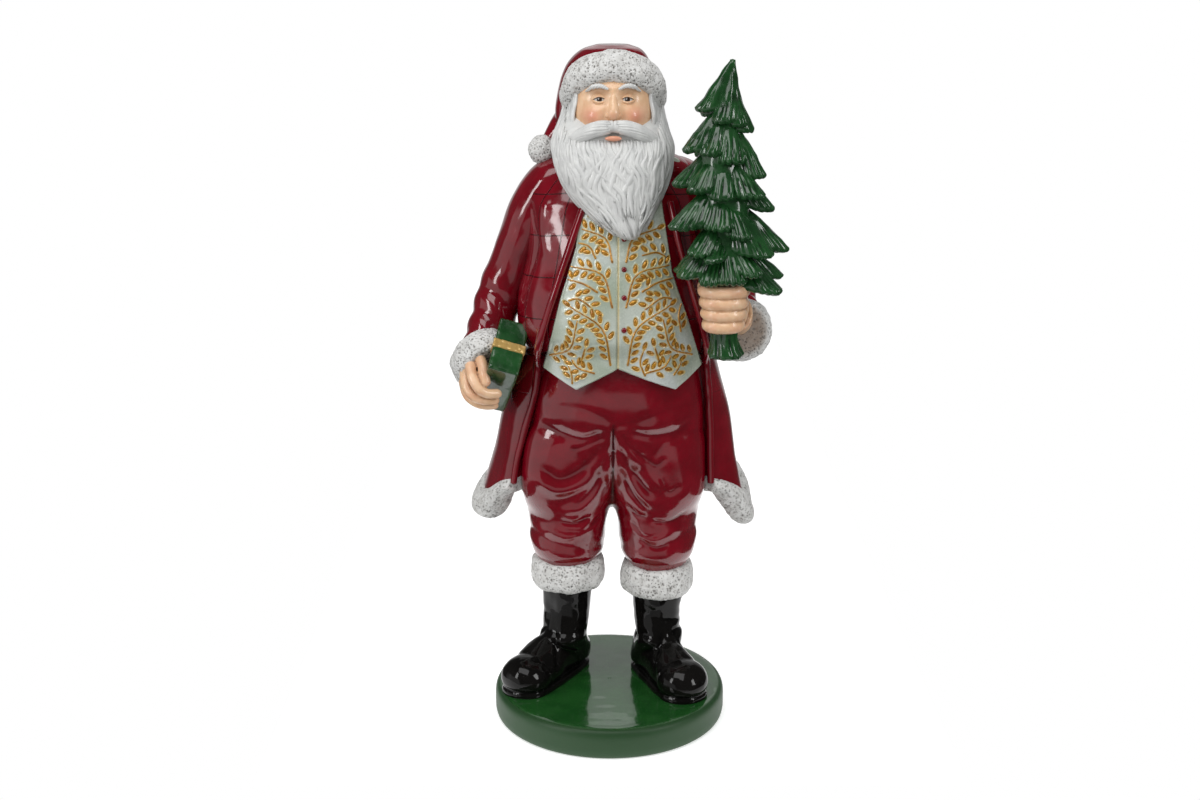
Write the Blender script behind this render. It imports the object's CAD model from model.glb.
"""Looks of the santa figurine. Shapes are worked out in millimetres and become metres in to_mesh()."""

import math

import bpy
import numpy as np
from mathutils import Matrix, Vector


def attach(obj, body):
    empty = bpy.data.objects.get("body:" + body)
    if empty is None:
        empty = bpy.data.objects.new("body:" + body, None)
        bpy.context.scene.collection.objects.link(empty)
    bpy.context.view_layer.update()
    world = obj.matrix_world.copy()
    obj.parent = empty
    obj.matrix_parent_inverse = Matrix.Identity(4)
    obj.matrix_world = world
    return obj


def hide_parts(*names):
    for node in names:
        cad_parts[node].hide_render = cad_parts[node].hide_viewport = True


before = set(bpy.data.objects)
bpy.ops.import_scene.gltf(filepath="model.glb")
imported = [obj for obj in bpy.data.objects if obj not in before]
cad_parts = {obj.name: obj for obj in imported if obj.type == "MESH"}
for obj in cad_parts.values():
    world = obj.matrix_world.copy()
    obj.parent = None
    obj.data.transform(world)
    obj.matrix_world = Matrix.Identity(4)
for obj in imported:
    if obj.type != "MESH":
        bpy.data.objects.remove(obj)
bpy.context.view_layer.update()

MM = 0.001
NODE = "santa_figurine"
TIP_RINGS, TIP_POINT = 8, 0.012  # a rounded tip's rings, and how far its end point stands out


# Numbers

def ramp(x, low, high):
    t = np.clip((x - low) / (high - low), 0, 1)
    return t * t * (3 - 2 * t)


def bell(x, width):
    return np.exp(-(x / width) ** 2)


def unit(v):
    return v / np.maximum(np.linalg.norm(v, axis=-1, keepdims=True), 1e-9)


def around(sides):
    return np.arange(sides) * 2 * math.pi / sides


def bowed(wave, power):
    """A sine or cosine to a power, with its sign kept."""
    return np.sign(wave) * np.abs(wave) ** power


def spline(points, t):
    """Catmull-Rom curve through rows of numbers, t from 0 to 1."""
    p = np.asarray(points, float)
    t = np.atleast_1d(np.asarray(t, float))
    n = len(p)
    ends = np.vstack([2 * p[0] - p[1], p, 2 * p[-1] - p[-2]])
    s = np.clip(t, 0, 1) * (n - 1)
    i = np.minimum(s.astype(int), n - 2)
    w = (s - i)[:, None]
    a, b, c, d = ends[i], ends[i + 1], ends[i + 2], ends[i + 3]
    u, v = 0.5 * (c - a), 0.5 * (d - b)
    return ((2 * b - 2 * c + u + v) * w + (3 * c - 3 * b - 2 * u - v)) * w * w + u * w + b


def full_rows(rows):
    """Rows of six numbers; a power of 2, for an ellipse, is added where it is left out."""
    return np.array([[*row, 2][:6] for row in rows], float)


def hashed(cell, seed):
    i, j, k = cell[:, 0], cell[:, 1], cell[:, 2]
    n = (i * 374761393 + j * 668265263 + k * 1103515245 + seed * 974634777) & 0xFFFFFFFF
    n = ((n ^ (n >> 13)) * 1274126177) & 0xFFFFFFFF
    return ((n ^ (n >> 16)) & 0xFFFF) / 65535.0


CORNERS = [np.array([a, b, c]) for a in (0, 1) for b in (0, 1) for c in (0, 1)]
AROUND = [np.array([a, b, c]) for a in (-1, 0, 1) for b in (-1, 0, 1) for c in (-1, 0, 1)]


def noise(p, size, seed=0):
    """Smooth value noise, -1 to 1."""
    q = p / size
    base = np.floor(q).astype(np.int64)
    w = q - base
    w = w * w * (3 - 2 * w)
    total = np.zeros(len(p))
    for corner in CORNERS:
        weight = np.prod(np.where(corner == 1, w, 1 - w), axis=1)
        total += weight * hashed(base + corner, seed)
    return total * 2 - 1


def cells(p, size, seed=0):
    """Distance to the nearest scattered point, in cells, and that point's own number."""
    q = p / size
    base = np.floor(q).astype(np.int64)
    best = np.full(len(p), 9.0)
    tag = np.zeros(len(p))
    for step in AROUND:
        c = base + step
        spot = c + np.stack([hashed(c, seed + k) for k in (1, 2, 3)], axis=1)
        d = np.linalg.norm(q - spot, axis=1)
        near = d < best
        best = np.where(near, d, best)
        tag = np.where(near, hashed(c, seed + 4), tag)
    return best, tag


# Shapes: skins as (points, quads)

def outward(shape):
    v, f = shape
    a, b, c, d = (v[f[:, k]] for k in range(4))
    volume = np.einsum("ij,ij->i", a, np.cross(b, c) + np.cross(c, d)).sum()
    return (v, f[:, ::-1].copy()) if volume < 0 else (v, f)


def join(shapes):
    points, faces, start = [], [], 0
    for v, f in shapes:
        points.append(v)
        faces.append(f + start)
        start += len(v)
    return np.vstack(points), np.vstack(faces)


def rings_to_shape(grid, first, last):
    """A closed skin from rings of points (rings, sides, 3) and the two end points."""
    rings, sides, _ = grid.shape
    v = np.vstack([grid.reshape(-1, 3), first[None], last[None]])
    i = np.arange(rings - 1)[:, None] * sides
    j = np.arange(sides)[None, :]
    k = (j + 1) % sides
    quads = np.stack([i + j, i + k, i + sides + k, i + sides + j], axis=-1).reshape(-1, 4)
    j, k = j[0], k[0]
    end = (rings - 1) * sides
    start_fan = np.stack([j * 0 + rings * sides, k, j, j], axis=-1)
    end_fan = np.stack([j * 0 + rings * sides + 1, end + j, end + k, end + k], axis=-1)
    return outward((v, np.vstack([quads, start_fan, end_fan])))


def loft(rows, sides=48, rings=40, level=False, hint=(1, 0, 0), tips=(0, 0), carve=None):
    """Superellipse sections along a curve. Rows are centre, two half widths and a power."""
    rows = full_rows(rows)
    t = np.linspace(0, 1, rings)
    centre, width, power = np.split(spline(rows, t), [3, 5], axis=1)
    if level:
        along = np.tile([0.0, 0.0, -1.0], (rings, 1))
        across = np.tile([1.0, 0.0, 0.0], (rings, 1))
    else:
        along = unit(spline(rows[:, :3], t + 1e-4) - spline(rows[:, :3], t - 1e-4))
        hint = np.array(hint, float)
        across = unit(hint - along * (along @ hint)[:, None])
    caps = []
    for end, length, sign in ((0, tips[0], -1), (-1, tips[1], 1)):
        bow = np.linspace(0, 1, TIP_RINGS)[1:-1] * math.pi / 2 if length else np.array([])
        reach = centre[end] + sign * along[end] * (length * np.sin(bow))[:, None]
        caps.append((reach, width[end] * np.cos(bow)[:, None], *(
            np.repeat(row[end][None], len(bow), 0) for row in (power, along, across, t))))
    centre, width, power, along, across, t = (
        np.concatenate([before[::-1], row, after])
        for before, row, after in zip(caps[0], (centre, width, power, along, across, t), caps[1]))
    side = np.cross(across, along)
    angle = around(sides)
    ca = width[:, :1] * bowed(-np.cos(angle), 2 / power)
    sb = width[:, 1:] * bowed(-np.sin(angle), 2 / power)
    grid = centre[:, None] + across[:, None] * ca[..., None] + side[:, None] * sb[..., None]
    if carve:
        grid = carve(grid, t[:, None], angle[None, :], centre[:, None])
    first = centre[0] - along[0] * (tips[0] * TIP_POINT)
    last = centre[-1] + along[-1] * (tips[1] * TIP_POINT)
    return rings_to_shape(grid, first, last)


def body(rows, sides=96, rings=90, carve=None):
    """Level sections. Rows are height, centre x and y, two half widths and a power."""
    turned = [[r[1], r[2], r[0], *r[3:]] for r in rows]
    return loft(turned, sides, rings, level=True, carve=carve)


def turn_matrix(x, y, z):
    cx, sx, cy, sy, cz, sz = (math.cos(x), math.sin(x), math.cos(y), math.sin(y), math.cos(z), math.sin(z))
    mx = np.array([[1, 0, 0], [0, cx, -sx], [0, sx, cx]])
    my = np.array([[cy, 0, sy], [0, 1, 0], [-sy, 0, cy]])
    mz = np.array([[cz, -sz, 0], [sz, cz, 0], [0, 0, 1]])
    return mz @ my @ mx


def ball(centre, radii, sides=40, rings=24, turn=(0, 0, 0)):
    bow = np.linspace(0, math.pi, rings + 2)[1:-1, None]
    angle = around(sides)
    grid = np.stack([np.sin(bow) * np.cos(angle), np.sin(bow) * np.sin(angle), np.cos(bow) + 0 * angle],
                    axis=-1) * np.array(radii)
    v, f = rings_to_shape(grid, np.array([0, 0, radii[2]]), np.array([0, 0, -radii[2]]))
    return v @ turn_matrix(*turn).T + np.array(centre), f


def tube(points, radius, sides=12, rings=24, hint=(0.3, 0.2, 1)):
    radius = np.broadcast_to(np.asarray(radius, float), (len(points),))
    rows = [[*p, r, r] for p, r in zip(points, radius)]
    return loft(rows, sides, rings, hint=hint, tips=(radius[0], radius[-1]))


def sheet_faces(m, n):
    """The quads of a grid of m rows and n columns, and its rim's points in order."""
    i, j = np.arange(m - 1)[:, None] * n, np.arange(n - 1)[None, :]
    quads = np.stack([i + j, i + j + 1, i + n + j + 1, i + n + j], axis=-1).reshape(-1, 4)
    rim = np.concatenate([np.arange(n), np.arange(1, m) * n + n - 1,
                          (m - 1) * n + np.arange(n - 1)[::-1], np.arange(1, m - 1)[::-1] * n])
    return quads, rim


def plate(outer, inner):
    """A closed slab between two matching grids of points (rows, columns, 3)."""
    m, n, _ = outer.shape
    quads, rim = sheet_faces(m, n)
    after = np.roll(rim, -1)
    wall = np.stack([after, rim, rim + m * n, after + m * n], axis=-1)
    v = np.vstack([outer.reshape(-1, 3), inner.reshape(-1, 3)])
    return outward((v, np.vstack([quads, quads[:, ::-1] + m * n, wall])))


def normals(shape):
    v, f = shape
    n = np.cross(v[f[:, 2]] - v[f[:, 0]], v[f[:, 3]] - v[f[:, 1]])
    total = np.zeros_like(v)
    for corner in range(4):
        for axis in range(3):
            total[:, axis] += np.bincount(f[:, corner], n[:, axis], len(v))
    return unit(total)


def averager(shape):
    """A function that gives the mean of each point's neighbours."""
    v, f = shape
    a, b = f.ravel(), f[:, [1, 2, 3, 0]].ravel()
    i, j = np.concatenate([a, b]), np.concatenate([b, a])
    count = np.maximum(np.bincount(i, minlength=len(v)), 1)[:, None]
    return lambda v: np.stack([np.bincount(i, v[j, axis], len(v)) for axis in range(3)], axis=1) / count


def relax(shape, rounds):
    """Smooths the surface without shrinking it."""
    v, f = shape
    mean = averager(shape)
    for weight in (0.5, -0.52) * rounds:
        v = v + weight * (mean(v) - v)
    return v, f


def new_object(name, data):
    piece = bpy.data.objects.new(name, data)
    bpy.context.scene.collection.objects.link(piece)
    return piece


def with_modifiers(piece):
    """A new mesh with the object's modifiers applied."""
    return bpy.data.meshes.new_from_object(piece.evaluated_get(bpy.context.evaluated_depsgraph_get()))


def to_mesh(name, shape):
    """The shape in metres. A face whose first or last corner is repeated becomes a triangle."""
    v, f = shape
    f = np.where((f[:, 0] == f[:, 1])[:, None], f[:, [1, 2, 3, 3]], f)
    short = f[:, 2] == f[:, 3]
    keep = np.ones(f.shape, bool)
    keep[short, 3] = False
    loops = f[keep].astype(np.int32)
    starts = np.concatenate([[0], np.cumsum(np.where(short, 3, 4))[:-1]]).astype(np.int32)
    mesh = bpy.data.meshes.new(name)
    mesh.vertices.add(len(v))
    mesh.vertices.foreach_set("co", (v * MM).astype(np.float32).ravel())
    mesh.loops.add(len(loops))
    mesh.loops.foreach_set("vertex_index", loops)
    mesh.polygons.add(len(f))
    mesh.polygons.foreach_set("loop_start", starts)
    mesh.update(calc_edges=True)
    return mesh


def fuse(shapes, voxel, rounds=8):
    """Overlapping closed skins become one even skin of quads, then it is smoothed."""
    def read(items, field, kind, size=1):
        values = np.empty(len(items) * size, kind)
        items.foreach_get(field, values)
        return values

    mesh = to_mesh("fuse", join(shapes))
    holder = new_object("fuse", mesh)
    remesh = holder.modifiers.new("fuse", "REMESH")
    remesh.mode = "VOXEL"
    remesh.voxel_size = voxel * MM
    whole = with_modifiers(holder)
    v = read(whole.vertices, "co", np.float32, 3).reshape(-1, 3).astype(float) / MM
    loops = read(whole.loops, "vertex_index", np.int32)
    total = read(whole.polygons, "loop_total", np.int32)
    start = np.concatenate([[0], np.cumsum(total)[:-1]])
    f = np.stack([loops[start + np.minimum(k, total - 1)] for k in range(4)], axis=1)
    bpy.data.objects.remove(holder)
    bpy.data.meshes.remove(mesh)
    bpy.data.meshes.remove(whole)
    return relax((v, f.astype(np.int64)), rounds)


def stroke(p, points, width, ends=0.12, steps=20):
    """How strongly a drawn line covers the points p, 1 on the line, fading across and at its ends."""
    line = spline(points, np.linspace(0, 1, steps))
    strength = np.zeros(len(p))
    for k in range(steps - 1):
        a, b = line[k], line[k + 1]
        ab = b - a
        t = np.clip(((p - a) @ ab) / max(ab @ ab, 1e-9), 0, 1)
        d = np.linalg.norm(p - a - t[:, None] * ab, axis=1)
        s = (k + t) / (steps - 1)
        fade = np.clip(s / ends, 0, 1) * np.clip((1 - s) / ends, 0, 1) if ends else 1
        strength = np.maximum(strength, bell(d, width) * np.sqrt(fade))
    return strength


def push(shape, amount):
    v, f = shape
    return v + normals(shape) * amount[:, None], f


def uneven(shape, *waves, squash=(1, 1, 1)):
    """Pushes the surface in and out by layers of noise, each a height, a size and a seed."""
    return push(shape, sum(height * noise(shape[0] * squash, size, seed) for height, size, seed in waves))


# Paints

class Nodes:
    """Shorthand for a node tree. Sizes are in millimetres, and positions are in metres."""

    def __init__(self, tree, place):
        self.tree = tree
        self.place = self.new("TexCoord")[place]

    def feed(self, node, values):
        """Gives inputs their values, each a number, a colour or the output of another node."""
        for key, value in values.items():
            if isinstance(value, bpy.types.NodeSocket):
                self.tree.links.new(value, node.inputs[key])
            else:
                node.inputs[key].default_value = value

    def new(self, kind, values=None, **settings):
        """Adds a node and gives its outputs."""
        node = self.tree.nodes.new("ShaderNode" + kind)
        for key, value in settings.items():
            setattr(node, key, value)
        self.feed(node, values or {})
        return node.outputs

    def math(self, kind, a, b=0.0):
        return self.new("Math", {0: a, 1: b}, operation=kind)["Value"]

    def times(self, a, b):
        return self.math("MULTIPLY", a, b)

    def curve(self, value, low, high, to_low=0.0, to_high=1.0):
        return self.new("MapRange", {
            "Value": value, "From Min": low, "From Max": high, "To Min": to_low, "To Max": to_high,
        }, interpolation_type="SMOOTHSTEP")["Result"]

    def mix(self, share, a, b):
        a, b = ((*c, 1.0) if isinstance(c, tuple) else c for c in (a, b))
        return self.new("Mix", {0: share, 6: a, 7: b}, data_type="RGBA", clamp_factor=True)[2]


class Paint(Nodes):
    """A procedural material on object coordinates, with masks from the points of the mesh."""

    def __init__(self, name, rough, coat=0.0, metal=0.0, level=0.5):
        self.material = bpy.data.materials.new(name)
        self.material.use_nodes = True
        super().__init__(self.material.node_tree, "Object")
        self.shader = self.tree.nodes["Principled BSDF"]
        self.feed(self.shader, {"Roughness": rough, "Metallic": metal, "Coat Weight": coat,
                                "Coat Roughness": 0.04, "Specular IOR Level": level})
        self.height = None

    def noise(self, size, detail=3.0, stretch=None):
        place = self.place
        if stretch:
            place = self.new("Mapping", {"Vector": place, "Scale": stretch})["Vector"]
        return self.new("TexNoise", {"Vector": place, "Scale": 1.0 / (size * MM), "Detail": detail,
                                     "Roughness": 0.55})["Fac"]

    def fleck(self, size):
        """Distance to scattered spots, bent out of round."""
        bend = self.new("TexNoise", {"Vector": self.place, "Scale": 0.6 / (size * MM)})["Color"]
        warp = self.new("VectorMath", {0: bend, 1: (0.9 * size * MM,) * 3, 2: self.place},
                        operation="MULTIPLY_ADD")["Vector"]
        return self.new("TexVoronoi", {"Vector": warp, "Scale": 1.0 / (size * MM)})["Distance"]

    def attribute(self, name):
        return self.new("Attribute", attribute_name=name)["Fac"]

    def cloud(self, size, detail, low, high, a, b):
        """Soft patches of two colours."""
        return self.mix(self.curve(self.noise(size, detail), low, high), a, b)

    def cover(self, colour, **masks):
        """Lays a colour over the paint for each mask of the mesh."""
        for mask, over in masks.items():
            colour = self.mix(self.attribute(mask), colour, over)
        return colour

    def panes(self, step, start, step_angle):
        """Thin incised squares: level lines, and upright lines that follow the coat's flare."""
        x, y, z = self.new("SeparateXYZ", {"Vector": self.place})
        angle = self.math("ARCTAN2", x, self.times(y, -1.0))
        reach = self.math("POWER", self.math("ADD", self.times(x, x), self.times(y, y)), 0.5)

        def gap(value, step):
            turns = self.math("ADD", self.math("DIVIDE", value, step), 0.5)
            off = self.math("ABSOLUTE", self.math("SUBTRACT", self.math("FRACT", turns), 0.5))
            return self.times(off, step)

        upright = self.times(gap(angle, step_angle), reach)
        wander = self.times(self.math("COSINE", self.times(angle, 2.0)), 2.5 * MM)
        height = self.math("SUBTRACT", self.math("SUBTRACT", z, wander), start * MM)
        near = self.math("MINIMUM", upright, gap(height, step * MM))
        return self.curve(near, 0.1 * MM, 0.42 * MM, 1.0, 0.0)

    def bump(self, height, depth):
        values = {"Distance": depth * MM, "Strength": 1.0, "Height": height}
        if self.height:
            values["Normal"] = self.height
        self.height = self.new("Bump", values)["Normal"]

    def finish(self, colour, rough=None):
        values = {"Base Color": colour, "Roughness": rough, "Normal": self.height}
        self.feed(self.shader, {key: value for key, value in values.items() if value})
        return self.material


def lacquer(name, deep, light, rough=0.12, wave=0.06, rub=None, squares=None, coat=0.6, dull=False,
            level=0.5):
    """Glossy brushed lacquer: pools darker in grooves, thinner and paler on crests."""
    p = Paint(name, rough, coat=coat, level=level)
    colour = p.cloud(14, 4, 0.35, 0.68, deep, light)
    colour = p.cover(colour, wash=tuple(c * 0.35 for c in deep))
    if rub:
        worn = p.times(p.attribute("crest"), p.curve(p.noise(2.2, 5), 0.45, 0.62))
        colour = p.mix(worn, colour, rub)
    p.bump(p.noise(5.5, 2), wave)
    p.bump(p.noise(0.9, 3), wave * 0.16)
    if squares:
        line = p.times(p.panes(*squares), p.attribute("crest"))
        colour = p.mix(line, colour, tuple(c * 0.3 for c in deep))
        p.bump(p.math("SUBTRACT", 1.0, line), 0.4)
    sheen = p.curve(p.noise(3.0, 3), 0.2, 0.8, rough * 0.6, rough * 1.8)
    if dull:
        satin = p.attribute("pit")
        sheen = p.math("MAXIMUM", sheen, p.times(satin, 0.5))
        p.feed(p.shader, {"Coat Weight": p.curve(satin, 0, 1, coat, 0.0)})
        colour = p.mix(satin, colour, tuple(0.62 * c + 0.002 for c in light))
    return p.finish(colour, sheen)


def fur_paint():
    p = Paint("fur_paint", 0.62, coat=0.12)
    colour = p.cloud(4.5, 4, 0.3, 0.7, (0.60, 0.595, 0.575), (0.74, 0.74, 0.725))
    colour = p.cover(colour, wash=(0.33, 0.26, 0.21), pit=(0.20, 0.19, 0.175))
    specks = p.times(p.curve(p.fleck(1.25), 0.15, 0.27, 1.0, 0.0), p.curve(p.noise(5, 2), 0.36, 0.52))
    colour = p.mix(specks, colour, (0.14, 0.135, 0.125))
    p.bump(p.math("SUBTRACT", 1.0, specks), 0.5)
    p.bump(p.noise(0.7, 4), 0.16)
    p.bump(p.fleck(1.1), 0.14)
    return p.finish(colour)


def beard_paint():
    p = Paint("beard_paint", 0.42, coat=0.2)
    colour = p.cloud(6, 3, 0.3, 0.7, (0.61, 0.615, 0.605), (0.71, 0.715, 0.70))
    p.bump(p.noise(0.9, 3, stretch=(1, 1, 0.22)), 0.1)
    return p.finish(p.cover(colour, wash=(0.36, 0.37, 0.36)))


def skin_paint():
    p = Paint("skin_paint", 0.33, coat=0.3)
    p.feed(p.shader, {"Subsurface Weight": 0.08, "Subsurface Radius": (0.003, 0.0015, 0.001)})
    colour = p.cloud(5, 3, 0.3, 0.7, (0.73, 0.455, 0.265), (0.83, 0.56, 0.355))
    p.bump(p.noise(1.2, 3), 0.05)
    return p.finish(p.cover(colour, blush=(0.66, 0.21, 0.14), wash=(0.30, 0.12, 0.045)))


def sage_paint():
    p = Paint("sage_paint", 0.24, coat=0.5, metal=0.12)
    pearl = p.cloud(26, 2, 0.35, 0.65, (0.38, 0.44, 0.35), (0.53, 0.575, 0.51))
    pearl = p.cloud(30, 1, 0.54, 0.68, pearl, (0.60, 0.645, 0.62))
    colour = p.cover(pearl, wash=(0.22, 0.27, 0.17), gilt=(0.62, 0.42, 0.10))
    p.bump(p.noise(1.6, 3), 0.05)
    return p.finish(colour, p.curve(p.noise(2.5, 3), 0.3, 0.7, 0.16, 0.34))


def gold_paint():
    p = Paint("gold_paint", 0.2, coat=0.7, metal=0.35)
    colour = p.cloud(2.2, 3, 0.32, 0.68, (0.34, 0.13, 0.010), (0.66, 0.32, 0.03))
    p.bump(p.noise(0.8, 2), 0.05)
    return p.finish(p.cover(colour, gilt=(0.62, 0.43, 0.15), wash=(0.16, 0.06, 0.008)))


def eye_paint():
    p = Paint("eye_paint", 0.12, coat=1.0)
    white = p.cloud(1.5, 2, 0.3, 0.7, (0.62, 0.58, 0.54), (0.72, 0.69, 0.66))
    return p.finish(p.cover(white, iris=(0.03, 0.014, 0.007), glint=(0.9, 0.9, 0.9)))


RED_DEEP, RED_LIGHT = (0.150, 0.0010, 0.0065), (0.190, 0.0016, 0.009)
PAINTS = {
    "red_lacquer": lacquer("red_lacquer", RED_DEEP, RED_LIGHT),
    "coat_lacquer": lacquer("coat_lacquer", RED_DEEP, RED_LIGHT, squares=(22.8, 321.0, 0.36)),
    "white_fur": fur_paint(),
    "white_beard": beard_paint(),
    "skin": skin_paint(),
    "vest_sage": sage_paint(),
    "gold_paint": gold_paint(),
    "tree_green": lacquer("tree_green", (0.007, 0.045, 0.010), (0.012, 0.071, 0.016), 0.16, 0.14,
                          rub=(0.05, 0.12, 0.05), coat=0.35),
    "base_green": lacquer("base_green", (0.009, 0.062, 0.011), (0.014, 0.080, 0.015), 0.13, 0.04,
                          rub=(0.08, 0.16, 0.07), coat=0.8, dull=True),
    "boot_black": lacquer("boot_black", (0.0035, 0.0032, 0.003), (0.006, 0.0055, 0.005), 0.065, 0.06,
                          coat=0.04, level=0.22),
    "eye_paint": eye_paint(),
}


def add(name, shape, slot, keep=1.0, **masks):
    """Makes the piece; keep below 1 thins its mesh to that share of triangles."""
    mesh = to_mesh(name, shape)
    for mask, values in masks.items():
        layer = mesh.attributes.new(mask, "FLOAT", "POINT")
        layer.data.foreach_set("value", np.clip(values, 0, 1).astype(np.float32))
    piece = new_object(name, mesh)
    if keep < 1:
        thin = piece.modifiers.new("thin", "DECIMATE")
        thin.ratio = keep
        mesh = with_modifiers(piece)
        piece.modifiers.clear()
        piece.data = mesh
    mesh.polygons.foreach_set("use_smooth", np.ones(len(mesh.polygons), bool))
    mesh.materials.append(PAINTS[slot])
    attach(piece, "root")
    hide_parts(NODE)


def hollows(shape, spread=6, scale=0.35):
    """How deep each point lies below its smoothed surroundings: 0 on crests, 1 in grooves."""
    v = shape[0]
    soft = relax_plain(shape, spread)
    depth = np.einsum("ij,ij->i", soft - v, normals(shape))
    return np.clip(depth / scale, 0, 1), np.clip(-depth / scale, 0, 1)


def relax_plain(shape, rounds):
    """The points after plain smoothing, which fills grooves and wears down crests."""
    v, mean = shape[0], averager(shape)
    for _ in range(rounds):
        v = mean(v)
    return v


# Base and boots

BASE_RADIUS, BASE_THICKNESS = 69.7, 18.4
BASE_DEEPER, BASE_FORWARD = 1.02, 1.0
SINK, SOLE_EDGE = 1.2, 0.35  # the sole's depth in the base, and how far it stands out


def make_base():
    r, t = BASE_RADIUS, BASE_THICKNESS
    edge = [(0.5, 0), (r * 0.5, 0), (r - 6, 0), (r - 2.4, 0.3), (r - 0.9, 1.3), (r - 0.25, 3), (r, 5)]
    wall = [(r, 7), (r, 9), (r, 11), (r, 13)]
    lip = [(r - 0.2, 15), (r - 0.9, 16.8), (r - 2.2, 17.9), (r - 4.6, t), (r - 7, t - 0.1)]
    top = [(k, t - 0.1) for k in np.linspace(r - 9, 0.5, 26)]
    profile = spline(np.array(edge + wall + lip + top), np.linspace(0, 1, 76))
    angle = around(150)
    grid = np.stack([profile[:, :1] * np.cos(angle),
                     profile[:, :1] * np.sin(angle) * BASE_DEEPER - BASE_FORWARD,
                     profile[:, 1:] + 0 * angle], axis=-1)
    shape = rings_to_shape(grid, np.array([0, 0, 0.0]), np.array([0, 0, t - 0.1]))
    v = shape[0]
    shape = push(shape, ramp(v[:, 2], 1.5, 6) * (0.16 * noise(v, 22, 3) + 0.05 * noise(v, 6, 4)))
    v = shape[0]
    radius = np.hypot(v[:, 0], v[:, 1])
    crest = bell(radius - (r - 2), 1.6) * bell(v[:, 2] - 17, 1.6) * 0.35
    wash = bell(v[:, 2] - 0.5, 2.0) * (radius > r - 6) * 0.7
    satin = ramp(radius, r - 6, r - 3.5) * (1 - ramp(v[:, 2], t - 0.35, t - 0.1))
    add("round_base", shape, "base_green", crest=crest, wash=wash, pit=satin)


def make_boot(name, heel, waist, ball_at, toe, shaft, top):
    """The foot's stations are x, y and half width; the shaft's centre is x and y."""
    hx, hy, _ = heel
    tx, ty, tw = toe
    forward = np.array([tx - hx, ty - hy]) / math.hypot(tx - hx, ty - hy)
    cross = np.array([forward[1], -forward[0]])
    floor = BASE_THICKNESS - SINK
    path = np.array([heel, waist, ball_at, toe], float)
    t = np.linspace(0, 1, 40)
    middle = spline(path, t)
    tangent = unit(spline(path[:, :2], t + 1e-3) - spline(path[:, :2], t - 1e-3))
    sideways = np.stack([-tangent[:, 1], tangent[:, 0]], 1)
    w = middle[:, 2] + SOLE_EDGE
    left = middle[:, :2] + sideways * w[:, None]
    right = middle[:, :2] - sideways * w[:, None]
    bow = np.linspace(-math.pi / 2, math.pi / 2, 24)[1:-1]

    def rounded(end, sign):
        return (middle[end, :2] + sign * np.outer(np.cos(bow), tangent[end]) * w[end]
                + sign * np.outer(np.sin(bow), sideways[end]) * w[end])

    outline = np.vstack([right, rounded(-1, 1), left[::-1], rounded(0, -1)])
    centre = outline.mean(0)
    profile = [(0, 0.975), (1.4, 0.995), (3.2, 1.0), (4.4, 0.985), (5.0, 0.95)]
    grid = np.stack([np.column_stack([centre + (outline - centre) * s, np.full(len(outline), floor + rise)])
                     for rise, s in profile])
    sole = rings_to_shape(grid, np.array([*centre, floor]), np.array([*centre, floor + 5]))
    rows = [
        [hx - 11 * forward[0], hy - 11 * forward[1], 32, 6, 12],
        [hx, hy, 33, heel[2], 16, 2.5],
        [waist[0], waist[1], 33, waist[2] - 0.8, 17, 2],
        [ball_at[0], ball_at[1], 29, ball_at[2] - 0.6, 14, 2.1],
        [tx, ty, 26, tw - 2, 11, 2.2],
    ]
    foot = loft(rows, 64, 50, hint=(cross[0], cross[1], 0), tips=(2, 6))
    cap = ball([tx, ty, 27.6], [tw + 0.8, tw + 1.2, 12.6])
    sx, sy = shaft
    leg = body([
        [top, sx, sy, 15.4, 15.2], [top - 14, sx, sy, 15.4, 15], [62, sx, sy + 0.5, 14.3, 14.6],
        [52, sx + 1.6 * forward[0], sy + 1.6 * forward[1], 14.0, 15],
        [44, sx + 4 * forward[0], sy + 4 * forward[1], 14.0, 15.6],
        [34, (sx + hx) / 2, (sy + hy) / 2, 13.9, 14.5], [24, hx, hy, heel[2], 13],
    ])
    shape = fuse([sole, foot, cap, leg], 1.0, 9)
    v = shape[0]
    z = v[:, 2]
    along = (v[:, :2] - [hx, hy]) @ forward
    over = (v[:, :2] - [hx, hy]) @ cross
    ahead = ramp(along, 6, 15)
    instep = np.exp(-((along - 17) / 9) ** 2 - ((z - 42) / 8) ** 2)
    folds = (0.35 * np.sin((z - 0.35 * along + 2.0 * np.sin(over / 7)) / 1.5) * instep
             - 0.7 * bell(z - 52 + 0.1 * along + 1.2 * np.sin(over / 5), 2.2) * ahead
             - 0.5 * bell(z - 59 - 0.2 * over, 2.0) * ahead * ramp(noise(v, 14, 7), -0.3, 0.3))
    welt = -0.7 * bell(z - (floor + 5.2), 0.9)
    throat = -0.9 * bell(along - 24 - 0.05 * over ** 2, 2.4) * ramp(z, 26, 33)
    shape = push(shape, welt + folds + throat + 0.5 * noise(v, 9, 8) + 0.12 * noise(v, 4, 9))
    deep, high = hollows(shape)
    add(name, shape, "boot_black", wash=deep, crest=high)


# Fur trims

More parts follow.
